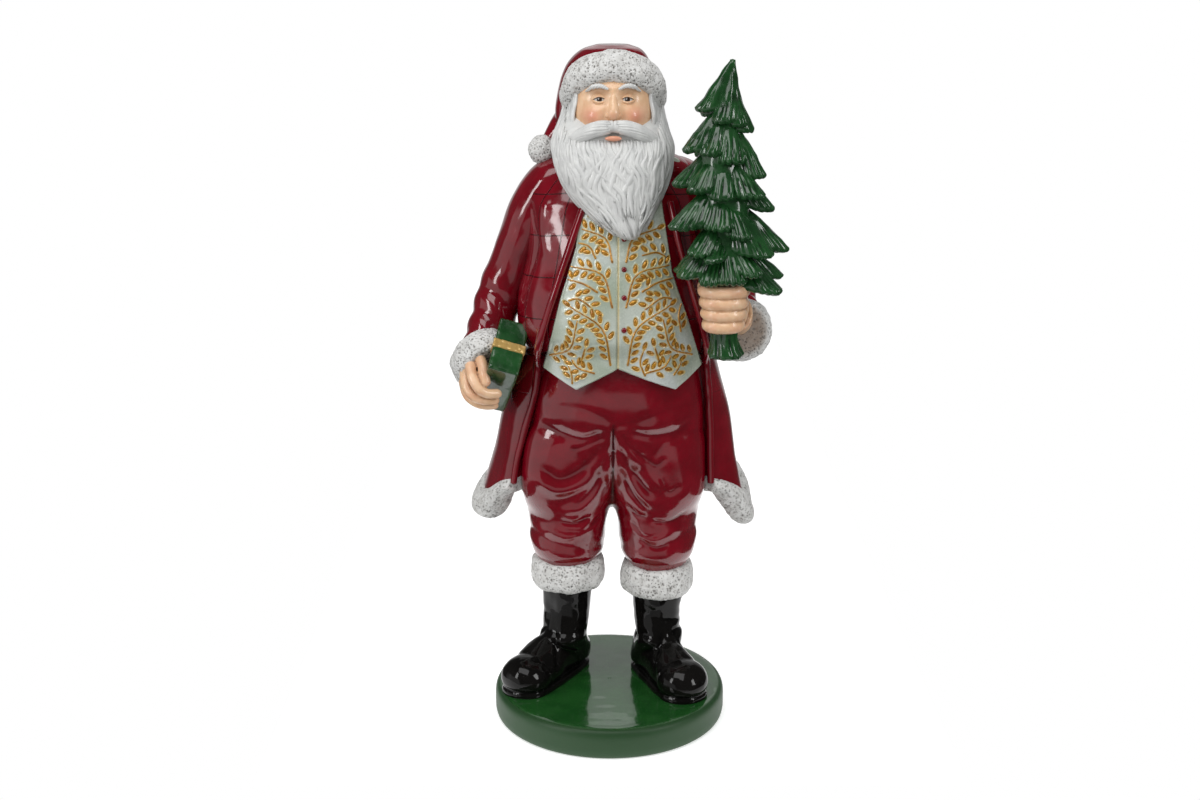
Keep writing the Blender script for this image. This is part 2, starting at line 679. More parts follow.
def add_fur(name, shape, seed, grain=1.75, lumps=1.0, wash=None, keep=0.7):
    """Pits of two sizes on a lumpy surface; grain is the distance between the larger pits."""
    v = shape[0]
    bent = v + 0.55 * np.stack([noise(v, 1.5, seed + k) for k in (9, 10, 11)], axis=1)
    near, tag = cells(bent, grain, seed)
    pit = (1 - ramp(near, 0.17, 0.38)) * (tag > 0.3)
    near, tag = cells(bent[:, [1, 2, 0]], 0.66 * grain, seed + 3)
    pit = np.maximum(pit, 0.8 * (1 - ramp(near, 0.14, 0.36)) * (tag > 0.55))
    lump = 0.22 * noise(v, 3.4, seed + 5) + 0.26 * noise(v, 1.4, seed + 6)
    shape = push(shape, lumps * lump - 0.9 * pit)
    deep, _ = hollows(shape, 5, 0.5)
    wash = 0.3 * deep if wash is None else np.clip(wash + 0.3 * deep, 0, 1)
    add(name, shape, "white_fur", keep, pit=pit, wash=wash)


def make_knee_cuff(name, x, y, top, half, seed):
    low = top - 18.2
    shape = fuse([body([
        [top + 1, x, y, half - 6, half - 5], [top - 1, x, y, half - 1.6, half - 0.6],
        [top - 7, x, y, half, half + 1], [low + 5, x, y, half, half + 1],
        [low + 1, x, y, half - 1.6, half - 0.8], [low - 1, x, y, half - 6, half - 5],
    ], 120, 50)], 0.66, 4)
    add_fur(name, uneven(shape, (0.6, 8, seed), squash=(1, 1, 0.4)), seed)


# Trousers

def front_of(shape):
    return ramp(-normals(shape)[:, 1], 0.05, 0.5)


# Folds of the trousers, drawn on the front as x and z, each with a width and a height or depth.
RIDGES = [
    ([(-37.1, 192.4), (-20.0, 193.2), (-4.6, 190.0), (1.5, 189)], 5.0, 0.45),
    ([(-42.0, 156.6), (-31.1, 149.4), (-17.3, 153.6), (-7.5, 165.1), (-1.8, 179.5)], 3.6, 1.9),
    ([(-27.7, 134.7), (-15.6, 139.6), (-5.8, 152.4), (-1.2, 165.7)], 2.8, 1.2),
    ([(10.8, 190.6), (23, 189.4), (38, 192.5)], 4.8, 0.45),
    ([(5.1, 184), (14, 171), (24, 158), (30, 150)], 3.0, 1.3),
    ([(5.5, 170), (14, 153), (24, 139)], 2.6, 1.2),
    ([(-36, 122), (-25, 119), (-12, 124)], 2.6, 1.1),
    ([(14, 122), (28, 118), (42, 123)], 2.6, 1.1),
]
GROOVES = [
    ([(-37, 199), (-19.9, 201), (-5.8, 197.5), (3.9, 191.8), (17.0, 194), (31.2, 199), (46, 202)], 3.4, 0.9),
    ([(-38.2, 188.6), (-25.7, 184.2), (-14.3, 182.0), (-2.3, 187.6)], 3.2, 1.4),
    ([(-23.5, 174.1), (-12.6, 178.3), (-2.3, 184.2)], 1.0, 0.7),
    ([(-39.6, 162.7), (-28.7, 156.6), (-16.1, 162.7), (-4.0, 177.1)], 3.0, 1.3),
    ([(-20.2, 137.2), (-10.4, 147.6), (-4.0, 162.7), (-0.6, 174.7)], 2.2, 1.4),
    ([(11.3, 187.2), (22.8, 184.4), (35.3, 184.8), (46.7, 189.2)], 3.2, 1.4),
    ([(6.3, 186.6), (11.2, 177.7), (21.0, 168.7)], 1.6, 1.2),
    ([(5.7, 175.3), (11.5, 162.7), (23.1, 146.3)], 1.7, 1.5),
    ([(6.3, 162.7), (12.7, 147.6), (20.3, 137.2)], 1.5, 1.2),
    ([(22.3, 168.1), (26.9, 165.1), (31.5, 169.9)], 1.1, 0.8),
    ([(29.3, 157.2), (34.0, 147.6), (40.3, 151.8)], 1.0, 0.8),
    ([(-28.9, 128.5), (-20.2, 127), (-12.7, 130)], 1.6, 1.1),
    ([(-25.5, 121.8), (-14.5, 122.5), (-5.8, 128.0)], 1.3, 0.9),
    ([(9.9, 137.8), (15.1, 132.3), (20.3, 131.1)], 1.3, 0.9),
    ([(25.0, 128.5), (34.8, 127.9), (44.6, 132.9)], 1.6, 1.1),
    ([(12.8, 126.2), (20.4, 118.8), (29.1, 119.4)], 1.3, 0.9),
    ([(17.5, 116.3), (26.3, 111.3), (33.8, 112.6)], 1.1, 0.8),
]


CROTCH_X = 2


def make_trousers():
    seat = body([
        [240, 5, -4, 42, 36], [222, 5.5, -3.5, 48, 38.5], [205, 5, -2.5, 50.5, 39.5, 2.2],
        [190, 4.5, -1, 52, 38, 2.3], [177, 4, 0, 51, 34.5, 2.4], [164, 2.6, 0.5, 40, 31, 2.4],
        [154, 2.2, 1.5, 22, 25, 2.3], [146, 2, 3, 12, 16], [140, 2, 4, 5, 8],
    ])
    left = body([
        [200, -18, 0, 24, 27], [180, -23.5, 0, 27, 31.5, 2.3], [160, -25.2, 0.5, 27.9, 30, 2.9],
        [147, -24.8, 1.2, 27.8, 28.4, 3], [138, -24.5, 2, 26.6, 27.3, 2.6], [130, -24.4, 2.6, 24.9, 26.2],
        [122, -24.6, 3, 23.4, 25.4],
        [112, -25.2, 4, 22.9, 25], [103, -25.3, 4, 21.2, 23], [95, -25.3, 4, 16, 18],
    ])
    right = body([
        [200, 24, 0, 25, 27], [180, 29.5, 0, 27.2, 31.5, 2.3], [160, 29.2, 0.5, 28.1, 30, 2.9],
        [147, 28.4, 1.2, 28.2, 28.6, 3], [139, 28.0, 2, 27.1, 27.5, 2.6], [131, 27.8, 2.6, 25.6, 26.2],
        [122, 28.0, 3, 23.9, 25.2],
        [111, 28.7, 4, 23.4, 25], [101.5, 29, 4, 21.5, 23], [93, 29, 4, 16, 18],
    ])
    shape = fuse([seat, left, right], 1.2, 10)

    # The cloth puffs over the knee cuffs.
    v = shape[0]
    side = np.sign(v[:, 0] - CROTCH_X)
    shift = np.where(side < 0, v[:, 0] + 25.4, v[:, 0] - 28.6)
    rise = v[:, 2] - 111 - 0.25 * side * shift
    ring = -0.55 * bell(rise - 1.5, 3) + 0.3 * bell(rise + 6, 4)
    ring = ring * (1 - ramp(v[:, 2], 136, 146)) * (0.8 + 0.4 * noise(v, 14, 5))
    shape = push(shape, ring)

    # Between the legs the surface is worn smooth, then split by one narrow slit.
    v = shape[0]
    near = np.exp(-((v[:, 0] - CROTCH_X) / 20) ** 2 - ((v[:, 2] - 161) / 26) ** 2)[:, None]
    v = v + near * (relax_plain(shape, 50) - v)
    slit = stroke(v[:, [0, 2]], [(1.9, 192), (1.7, 172), (1.7, 136)], 1.1, ends=0.1)
    v[:, 1] += 2.0 * slit * (v[:, 1] < 0)
    shape = (v, shape[1])

    front = front_of(shape)
    p = v[:, [0, 2]]
    sculpt = np.zeros(len(v))
    for points, width, height in RIDGES:
        sculpt += 0.8 * height * stroke(p, points, 1.15 * width)
    for points, width, depth in GROOVES:
        sculpt -= 0.8 * depth * stroke(p, points, width)
    sculpt *= 1 - 0.85 * np.exp(-((v[:, 0] - CROTCH_X) / 13) ** 2 - ((v[:, 2] - 162) / 17) ** 2)
    sculpt += 0.45 * noise(v, 17, 12) + 0.12 * noise(v, 7, 13)
    shape = relax(push(shape, sculpt * front + (1 - front) * 0.5 * noise(v, 15, 14)), 3)
    deep, _ = hollows(shape, 10, 0.6)
    add("trousers", shape, "red_lacquer", 0.62, wash=np.maximum(deep * 0.6, slit))


# Coat

# The skirt: height, centre x and y, half width and depth, and the x of its left and right front edges.
LEVELS = np.array([
    [238, 5, -3, 50, 37, -41, 55], [221, 4.5, 2, 57.5, 37.5, -42, 56], [205, 4, 6, 62.5, 37, -44, 57.5],
    [190, 3.8, 9, 66.5, 36.5, -48, 59], [170, 3.4, 11.5, 71.5, 36.5, -53, 60],
    [150, 3, 13, 78.25, 37.5, -56, 61], [126, 3, 14, 82.25, 39.5, -57, 62],
])[::-1]
HEM_POWER = 2.6  # how square the skirt is


def curtain(share, z, offset):
    """A point of the coat's skirt: share of the way round, height, and distance outwards."""
    x, y, wide, deep, left, right = (np.interp(z, LEVELS[:, 0], LEVELS[:, k]) for k in range(1, 7))
    start = math.pi + np.arccos(((x - left) / wide) ** (HEM_POWER / 2))
    end = -np.arccos(((right - x) / wide) ** (HEM_POWER / 2))
    angle = start + (end - start) * share
    ripple = 1.6 * np.cos(11 * math.pi * share) * (1 - ramp(z, 130, 215))
    grow = offset + ripple
    return np.stack([x + (wide + grow) * bowed(np.cos(angle), 2 / HEM_POWER),
                     y + (deep + grow) * bowed(np.sin(angle), 2 / HEM_POWER), z + 0 * share], axis=-1)


def hem_drop(share, z):
    """How far the hem dips: the fur narrows to the front edges and hangs lowest at the front corners."""
    end = np.minimum(share, 1 - share)
    edge, corner, right = 1 - ramp(end, 0, 0.1), bell(end - 0.15, 0.09), ramp(share, 0.5, 0.7)
    top, bottom = (13 + 2 * right) * corner - 1.0 * edge, (4.5 + 3.5 * right) * corner - 18 * edge
    return (bottom + (top - bottom) * ramp(z, 127, 152)) * (1 - ramp(z, 152, 190))


def skirt_slab(heights, bulge, columns):
    share, z = np.meshgrid(np.linspace(0, 1, columns), heights)
    swell = np.broadcast_to(np.asarray(bulge, float)[:, None], share.shape)
    thick = 8 + 7 * ramp(z, 150, 200) + swell
    drop = hem_drop(share, z)
    outer, inner = curtain(share, z, swell), curtain(share, z, -thick)
    outer[..., 2] -= drop
    inner[..., 2] -= drop
    return plate(outer, inner)


# The chest and the belly: height, centre x and y, half width, half depth and power.
TORSO = [
    [341, 2, 4, 20, 14], [334, 1, 3, 32, 19], [326, 0.5, 2, 43, 25, 2.2], [314, 0.5, 0, 48, 31, 2.2],
    [298, 1, -2, 47.5, 35, 2.1], [280, 1.5, -4, 49.5, 38.5, 2.1], [262, 1, -5.5, 53.5, 41.5, 2.1],
    [244, 3, -6, 56, 43, 2.1], [232, 5, -4.5, 54, 41, 2.1],
]
BELLY_FOOT = [[220, 5.5, -4.5, 53, 41, 2.1], [204, 5.5, -3, 52, 40, 2.1]]


def edge_rows(share, upper):
    """A front edge of the coat: points down the chest, then on down the skirt."""
    z, share = np.array([224.0, 205, 185, 166, 150]), np.full(5, float(share))
    lower = curtain(share, z, -1)
    lower[:, 2] -= hem_drop(share, z)
    return [[*p, 2.2, 3.4] for p in [*upper, *lower.tolist()]]


def make_coat():
    collar = ball([35, 0, 333], [11, 14, 6.5], turn=(0, 0.35, 0))
    nape = ball([2, 8, 336], [26, 16, 8])
    skirt = skirt_slab(np.linspace(240, 148, 60), np.zeros(60), 260)
    shape = fuse([body(TORSO), collar, nape, skirt], 1.35, 9)
    v = shape[0]
    p = v[:, [0, 2]]
    front = ramp(-normals(shape)[:, 1], 0.0, 0.4)
    armhole = [(-44.6, 316), (-43.0, 302.9), (-40.9, 294.5), (-43.3, 282.0), (-47.3, 268.9), (-50.3, 255)]
    sculpt = -1.6 * front * stroke(p, armhole, 1.5)
    sculpt += 1.1 * front * stroke(p, [(-36, 318), (-37.5, 300), (-36, 288)], 3.0)
    sculpt += 0.45 * noise(v, 19, 21) + 0.1 * noise(v, 7, 22)
    shape = push(shape, sculpt)
    deep, _ = hollows(shape, 8, 0.8)
    incised = np.maximum(ramp(v[:, 2], 192, 226), ramp(v[:, 1], 12, 30))
    add("coat", shape, "coat_lacquer", 0.5, wash=deep * 0.6, crest=incised)

    fold = uneven(ball([36.5, -6, 331], [5.5, 5.5, 8.5], turn=(0.2, -0.35, 0.2)), (0.4, 5, 25))
    add("collar", fold, "vest_sage", wash=np.full(len(fold[0]), 0.4))

    edges = (0, [(-14, -30, 316), (-23, -37, 291), (-33, -42, 262), (-40, -38, 238)]), (
        1, [(33, -27, 316), (39, -35, 291), (47.5, -37.5, 262), (54, -32, 238)])
    strips = [loft(edge_rows(share, upper), 28, 170, tips=(1, 1)) for share, upper in edges]
    add("coat_edges", uneven(join(strips), (0.25, 8, 24)), "red_lacquer")


def make_hem_fur():
    heights = [153, 152, 150.5, 148, 145, 141, 137, 133, 130, 128, 126.8, 126.2]
    bulge = [-1.5, 0.8, 2.0, 3.0, 3.8, 4.4, 4.4, 3.9, 2.8, 1.2, -0.8, -2.6]
    profile = spline(np.column_stack([heights, bulge]), np.linspace(0, 1, 60))
    shape = fuse([skirt_slab(profile[:, 0], profile[:, 1], 300)], 0.85, 8)
    add_fur("hem_fur", uneven(shape, (0.4, 9, 31)), 31, grain=2.0, lumps=0.8, keep=0.72)


def make_sleeves():
    def creases(grid, t, angle, centre):
        fold = np.cos(t * 52 + 1.6 * np.cos(angle) + 0.8 * np.sin(2 * angle)) * bell(t - 0.74, 0.17)
        second = np.cos(t * 23 - 1.1 * np.sin(angle)) * bell(t - 0.55, 0.14)
        return grid + unit(grid - centre) * (0.72 * fold + 0.28 * second)[..., None]

    for name, rows in (
            ("sleeve_left", [
                [-25, 3, 331, 9, 14], [-35, 4, 323, 12.4, 16], [-44.5, 5, 308, 13.2, 17],
                [-50, 6, 293, 13.4, 17], [-56, 6.5, 276, 13.6, 16.5], [-62.5, 5, 259, 14, 15.5],
                [-68, -2, 245, 12.6, 14], [-73, -10, 234, 11, 12], [-75.5, -13, 228.5, 10.5, 11.5]]),
            ("sleeve_right", [
                [30, 3, 331, 9, 14], [42, 4, 323, 13, 16], [54, 6, 305, 13.4, 16],
                [62, 9, 286, 13.2, 15.5], [69, 10, 266, 13, 14.5], [73.5, 3, 251, 12.6, 14],
                [73.5, -12, 245, 12, 13], [73, -26, 246, 11, 12]])):
        shape = uneven(loft(rows, 88, 150, carve=creases), (0.35, 12, 41), (0.1, 5, 42))
        add(name, shape, "red_lacquer", wash=hollows(shape, 8, 0.5)[0])


def make_wrist_cuff(name, centre, axis, radius, seed):
    """A fur ring round the wrist; its outer end is washed dark on the inside."""
    centre, axis, length = np.array(centre, float), unit(np.array(axis, float)), 17
    spots = [(-0.5, -6), (-0.44, -2.2), (-0.3, -0.6), (0, 0.3), (0.3, -0.6), (0.44, -2.2), (0.5, -6)]
    rows = [[*(centre + axis * s * length), radius + r, radius + r] for s, r in spots]
    shape = fuse([loft(rows, 90, 50, hint=(1, 0, 0.2))], 0.62, 4)
    v = shape[0]
    along = (v - centre) @ axis
    off = np.linalg.norm(v - centre - along[:, None] * axis, axis=1)
    inner = ramp(along, 0.3 * length, 0.46 * length) * (1 - ramp(off, radius - 6, radius - 1.5))
    add_fur(name, uneven(shape, (0.5, 7, seed)), seed, wash=0.9 * inner)


# Vest

VEST_ROWS = spline(full_rows(TORSO + BELLY_FOOT), np.linspace(0, 1, 500))[::-1]
# The vest's side edges and its hem with two points, as x and height, and the x of its middle overlap.
VEST_LEFT = np.array([(-38.2, 223.5), (-28.4, 264.5), (-19.5, 293), (-16, 322)])
VEST_RIGHT = np.array([(52.3, 224.5), (44, 252), (34.6, 279), (28, 322)])
HEM_POINTS = np.array([(-38.2, 223.5), (-19.2, 213), (4.3, 226.6), (36.9, 212.5), (52.3, 224.5)])
PLACKET = 4.6
BUTTON_X, BUTTONS_Z = 7.4, (298, 282, 267, 249.5)
LEAF_STEP, LEAF_REACH, LEAF_GAP, STEM_GAP = 2.3, 3.1, 3.1, 2.1
SHORTEST_STEM, FEWEST_LEAVES = 11, 3  # in points of its line, and in leaves


def belly(x, z):
    """The y of the vest's front at x and z."""
    cx, cy, a, b, p = (np.interp(z, VEST_ROWS[:, 0], VEST_ROWS[:, k]) for k in range(1, 6))
    share = np.clip(np.abs(x - cx) / a, 0, 0.985)
    return cy - 2.2 - b * (1 - share ** p) ** (1 / p)


def vest_edge(points, z):
    return np.interp(z, points[:, 1], points[:, 0])


# Sprigs as three guide points on one half: distance from the placket and height.
SPRIGS = [
    [(5, 229), (10, 250), (30, 262)], [(44, 232), (30, 238), (25, 254)], [(15, 224), (27, 228), (33, 243)],
    [(47, 226), (42, 244), (44, 258)], [(4, 262), (10, 279), (29, 283)], [(37, 262), (25, 266), (14, 260)],
    [(4, 286), (8, 298), (22, 303)], [(31, 284), (22, 290), (12, 289)], [(32, 222), (36, 228), (39, 240)],
    [(3.5, 243), (6, 250), (6, 262)], [(38, 268), (33, 276), (32, 290)],
    [(4.5, 232), (12, 238), (19, 248)], [(22, 218), (23, 228), (20, 240)], [(13, 270), (21, 274), (31, 276)],
    [(12, 252), (18, 256), (26, 260)], [(3.8, 302), (7, 308), (14, 313)], [(36, 247), (35, 256), (38, 264)],
    [(14, 296), (20, 299), (27, 305)],
    [(29, 212), (29, 222), (33, 230)], [(3.6, 268), (8, 274), (15, 277)], [(40, 236), (42, 228), (38, 220)],
    [(24, 284), (26, 290), (25, 297)], [(27, 252), (29, 262), (27, 270)], [(15, 222), (12, 230), (14, 238)],
    [(46, 244), (40, 256), (27, 264)], [(41, 250), (42, 262), (36, 274)], [(20, 256), (14, 262), (5, 262)],
    [(36, 280), (28, 276), (18, 280)], [(9, 218), (8, 226), (5, 236)], [(13, 240), (17, 248), (15, 256)],
    [(32, 246), (26, 256), (16, 262)], [(24, 270), (32, 268), (40, 262)], [(14, 288), (18, 294), (27, 296)],
    [(40, 222), (44, 228), (46, 236)], [(20, 214), (17, 222), (19, 230)], [(26, 240), (20, 244), (14, 242)],
    [(30, 300), (24, 304), (18, 310)], [(34, 212), (38, 217), (44, 220)],
]


def heading(direction):
    return math.atan2(direction[1], direction[0])


def sprig_layout():
    """Stems as lines, and leaves as (place, angle), both in distance from the placket and height."""
    stems, leaves = [], []
    for side, spread in ((-1, 0.92), (1, 1.0)):
        for guide in SPRIGS:
            line = spline(np.array([(side * s * spread, z) for s, z in guide]), np.linspace(0, 1, 40))
            line = clear_run(line, leaves)
            if len(line) < SHORTEST_STEM:
                continue
            arc = np.concatenate([[0], np.cumsum(np.hypot(*np.diff(line, axis=0).T))])

            def at(distance):
                return np.array([np.interp(distance, arc, line[:, 0]), np.interp(distance, arc, line[:, 1])])

            kept = []
            for k, distance in enumerate(np.arange(2.6, arc[-1], LEAF_STEP)):
                here = at(distance)
                ahead = unit(at(distance + 0.5) - here + 1e-9)
                away = np.array([-ahead[1], ahead[0]]) * (1 if k % 2 else -1)
                kept.append((here + away * LEAF_REACH + ahead * 0.6, heading(away * 0.75 + ahead * 0.66)))
            end = line[-1] - line[-3]
            kept.append((line[-1] + unit(end) * 2.2, heading(end)))
            placed = [leaf for leaf in kept if fits(leaf[0], leaves)]
            if len(placed) >= FEWEST_LEAVES:
                leaves += placed
                stems.append(line)
    return stems, leaves


def inside(s, z, margin):
    """Whether a place on the vest is at least the margin away from its hem and side edges."""
    low = np.interp(s + PLACKET, HEM_POINTS[:, 0], HEM_POINTS[:, 1]) + 0.4 + margin
    limit_left = -(PLACKET - vest_edge(VEST_LEFT, z)) * 1.07 + margin
    limit_right = (vest_edge(VEST_RIGHT, z) - PLACKET) * 1.1 - margin
    return z > low and limit_left < s < limit_right


def clear_run(line, leaves):
    """The longest stretch of a stem that stays on the vest and clear of the leaves laid before it."""
    free = [inside(*p, 2.0) and all(np.hypot(*(p - leaf[0])) > STEM_GAP for leaf in leaves) for p in line]
    runs, first = [(0, 0)], 0
    for k, good in enumerate([*free, False]):
        if not good:
            runs.append((k - first, first))
            first = k + 1
    length, start = max(runs)
    return line[start:start + length]


def fits(spot, others):
    s, z = spot
    return abs(s) >= 3.6 and inside(s, z, 3.0) and all(
        np.hypot(*(spot - other[0])) > LEAF_GAP for other in others)


def make_vest():
    stems, leaves = sprig_layout()
    columns, rows = 200, 215
    q = np.linspace(0, 1, columns)
    hem_left, hem_right = (vest_edge(side, HEM_POINTS[:, 1]) for side in (VEST_LEFT, VEST_RIGHT))
    hem = np.interp(q, (HEM_POINTS[:, 0] - hem_left) / (hem_right - hem_left), HEM_POINTS[:, 1])
    z = hem[None, :] + (320 - hem[None, :]) * np.linspace(0, 1, rows)[:, None]
    x_left, x_right = vest_edge(VEST_LEFT, z), vest_edge(VEST_RIGHT, z)
    x = x_left + (x_right - x_left) * q
    y = belly(x, z)
    grid = np.stack([x, y, z], axis=-1)
    normal = unit(np.cross(np.gradient(grid, axis=1), np.gradient(grid, axis=0)))
    arc = np.cumsum(np.hypot(np.diff(x, axis=1), np.diff(y, axis=1)), axis=1)
    arc = np.concatenate([np.zeros((rows, 1)), arc], axis=1)
    s = arc - np.array([np.interp(PLACKET, x[k], arc[k]) for k in range(rows)])[:, None]
    flat = np.stack([s.ravel(), z.ravel()], axis=1)
    lift, gilt = np.zeros(len(flat)), np.zeros(len(flat))

    # Each leaf lies in a sunken bed with a raised edge, and each stem on a low ridge.
    for spot, angle in leaves:
        d = flat - spot
        near = np.abs(d).max(axis=1) < 4.5
        c, sn = math.cos(angle), math.sin(angle)
        e = np.hypot((d[near] @ [c, sn]) / 2.3, (d[near] @ [-sn, c]) / 1.2)
        lift[near] += 0.34 * bell(e - 1.32, 0.24) - 0.5 * (1 - ramp(e, 0.8, 1.1))
        gilt[near] = np.maximum(gilt[near], 1 - ramp(e, 1.05, 1.45))
    for line in stems:
        near = ((flat > line.min(axis=0) - 3) & (flat < line.max(axis=0) + 3)).all(axis=1)
        lift[near] += 0.24 * stroke(flat[near], line[::6], 0.95, ends=0, steps=26)
        gilt[near] = np.maximum(gilt[near], stroke(flat[near], line[::6], 0.6, ends=0, steps=26))

    # The right half laps over the left at the placket, and a thin border runs along the edges.
    lap = flat[:, 0]
    lift += 0.75 * ramp(lap, -0.55, 0.1) * bell(lap - 0.4, 2.2) - 0.5 * bell(lap + 0.75, 0.45)
    gilt = np.maximum(gilt, 0.75 * bell(lap + 0.3, 0.45))
    edge_gap = np.minimum(x - x_left, x_right - x).ravel()
    border = np.minimum(edge_gap, (z - hem[None, :]).ravel())
    lift += 0.3 * bell(border - 0.9, 0.8) - 1.3 * (1 - ramp(border, -0.4, 0.9))
    wash = 0.5 * (1 - ramp(edge_gap, 0.5, 6)) + 0.35 * bell(lap + 1.2, 0.7)
    lift += 0.12 * noise(np.column_stack([flat, 0 * lap]), 6, 51)
    outer = grid + normal * lift.reshape(rows, columns, 1)

    # The vest is closed behind by a wall along its rim and a fan to one point inside the chest.
    quads, rim = sheet_faces(rows, columns)
    behind = (grid + [0, 3.2, 0]).reshape(-1, 3)[rim]
    centre = behind.mean(axis=0) + [0, 6, 0]
    ring = rows * columns + np.arange(len(rim))
    hub = np.full(len(rim), rows * columns + len(rim))
    wall = np.stack([np.roll(rim, -1), rim, ring, np.roll(ring, -1)], axis=-1)
    fan = np.stack([np.roll(ring, -1), ring, hub, hub], axis=-1)
    shape = (np.vstack([outer.reshape(-1, 3), behind, centre[None]]), np.vstack([quads, wall, fan]))
    extra = np.zeros(len(rim) + 1)
    add("vest", shape, "vest_sage", 0.7, gilt=np.concatenate([gilt, extra]) * 0.9,
        wash=np.concatenate([wash, extra]))
    make_leaves(stems, leaves)
    dots = [ball([BUTTON_X, float(belly(BUTTON_X, z)) - 0.3, z], [1.55, 1.1, 1.55], 24, 12)
            for z in BUTTONS_Z]
    add("buttons", join(dots), "red_lacquer")


def make_leaves(stems, leaves):
    """Low domed leaves and round stems that follow the belly."""
    shapes, washes = [], []
    sides = 16
    u = np.linspace(0, 1, 6)[1:, None]
    angle = around(sides)
    for spot, turn in leaves:
        c, sn = math.cos(turn), math.sin(turn)
        a = 2.25 * u * np.cos(angle)
        b = 1.15 * u * np.sin(angle) * (1 - 0.28 * np.cos(angle))
        out = -0.35 + 0.75 * np.sqrt(np.clip(1 - (u * 0.98) ** 2, 0, 1)) + 0 * angle
        places = np.stack([spot[0] + c * a - sn * b, spot[1] + sn * a + c * b, out], axis=-1)
        grid = np.array([[leaf_point(*place) for place in row] for row in places])
        shapes.append(rings_to_shape(grid, leaf_point(*spot, 0.4), leaf_point(*spot, -1.2)))
        washes.append(np.concatenate([np.repeat(ramp(u[:, 0], 0.75, 1.0), sides), [0, 1]]))
    for line in stems:
        points = np.array([leaf_point(a, b, 0.12) for a, b in line[::3]])
        shape = tube(points, np.linspace(0.62, 0.42, len(points)), 8, 30)
        shapes.append(shape)
        washes.append(np.full(len(shape[0]), 0.25))
    add("vest_sprigs", join(shapes), "gold_paint", 0.8, wash=np.concatenate(washes) * 0.6)


# Distance from the placket along the belly at each height, to find a leaf's x.
LEAF_Z = np.arange(205, 325, 1.0)
LEAF_X = np.linspace(-46, 58, 300)
LEAF_Y = np.array([belly(LEAF_X, np.full_like(LEAF_X, z)) for z in LEAF_Z])
LEAF_ARC = np.cumsum(np.hypot(np.diff(LEAF_X), np.diff(LEAF_Y, axis=1)), axis=1)
LEAF_ARC = np.concatenate([np.zeros((len(LEAF_Z), 1)), LEAF_ARC], axis=1)
LEAF_ARC -= np.array([np.interp(PLACKET, LEAF_X, row) for row in LEAF_ARC])[:, None]


def leaf_point(s, z, out):
    """The point at distance s from the placket and height z, moved out along the surface's normal."""
    k = int(np.clip(round((z - LEAF_Z[0])), 0, len(LEAF_Z) - 1))
    x = np.interp(s, LEAF_ARC[k], LEAF_X)
    sx = float(belly(x + 0.5, z)) - float(belly(x - 0.5, z))
    sz = float(belly(x, z + 0.5)) - float(belly(x, z - 0.5))
    n = np.array([sx, -1.0, sz])
    n /= np.linalg.norm(n)
    return np.array([x, float(belly(x, z)), z]) + n * out


# Hands, parcel and tree

def make_parcel_hand():
    def finger(points, radius):
        return tube(points, np.linspace(radius, radius * 0.86, len(points)), 20, 44, hint=(0, -1, 0.3))

    parts = [
        ball([-79, -24, 222], [7.6, 9.5, 12.5], turn=(0, 0.2, 0)),
        ball([-80, -24, 214], [6.2, 8, 10]),
        tube([(-72, -12, 232), (-75, -19, 228), (-78, -23, 224)], 8.6, 24, 20),
        finger([(-77, -22, 232), (-74.5, -29, 229.5), (-72, -34, 226.5), (-71, -38, 222),
                (-69.7, -40, 217.4)], 3.2),
        finger([(-80, -24, 228), (-78.6, -33, 224.5), (-77.2, -38.5, 219.4), (-73.6, -41.5, 213.8),
                (-69, -41, 210.9), (-63.6, -38.6, 210.2)], 3.15),
        finger([(-83, -21, 225), (-82.4, -28, 220.5), (-81.4, -34, 214.5), (-77.6, -38, 208.8),
                (-71.4, -38.6, 206.4), (-65, -36, 205.6)], 3.0),
        finger([(-83.6, -18, 218), (-83.4, -24, 212), (-81, -30, 206.8), (-76.2, -33.6, 203.6),
                (-70.6, -34.4, 202.1), (-65.7, -32, 201.6)], 2.8),
    ]
    finish_hand("hand_with_parcel", fuse(parts, 0.55, 2))


def finish_hand(name, shape):
    v = shape[0]
    shape = uneven(shape, (0.1, 3, 61))
    deep, high = hollows(shape, 10, 0.45)
    blush = 0.35 * high * ramp(noise(v, 6, 62), -0.4, 0.6)
    add(name, shape, "skin", 0.7, wash=deep * 0.95, blush=blush)


def make_tree_hand():
    parts = [
        ball([67.5, -45, 262], [7.6, 12.5, 14], turn=(0.15, 0, 0.35)),
        loft([[72, -24, 247, 7.6, 8], [71.5, -34, 252, 7.8, 9], [70, -44, 258, 8.4, 11]], 40, 30),
        tube([(67, -42, 268), (60, -38, 272), (52, -40, 272)], 4.2, 20, 30),
    ]
    for i in range(4):
        z, inset = 273 - 6.3 * i, 0.8 * i
        parts.append(tube([
            (72.6 - inset, -47, z - 1), (71.4 - inset, -58.5, z), (65, -63.4, z),
            (56, -63.2, z), (50.6 + inset, -58, z), (51 + inset, -51, z),
        ], [3.5, 3.75, 3.7, 3.65, 3.5, 3.2], 20, 60))
    finish_hand("hand_with_tree", fuse(parts, 0.66, 3))


# The parcel stands on its near edge: up its upper face, back along its lower face, and its width.
PARCEL_CORNER = np.array([-67.7, -46, 227.7])
PARCEL_UP, PARCEL_BACK, PARCEL_WIDE = np.array([5.9, 24, 22.9]), np.array([-10.8, 31, -32.3]), 17.4
PARCEL_SECTION = [(0, 0), (33.7, 0), (33.7, 18), (17, 46), (0, 46)]
RIBBON_SECTION = [(13.8, -0.7), (19.3, -0.7), (19.3, 36), (13.8, 36)]


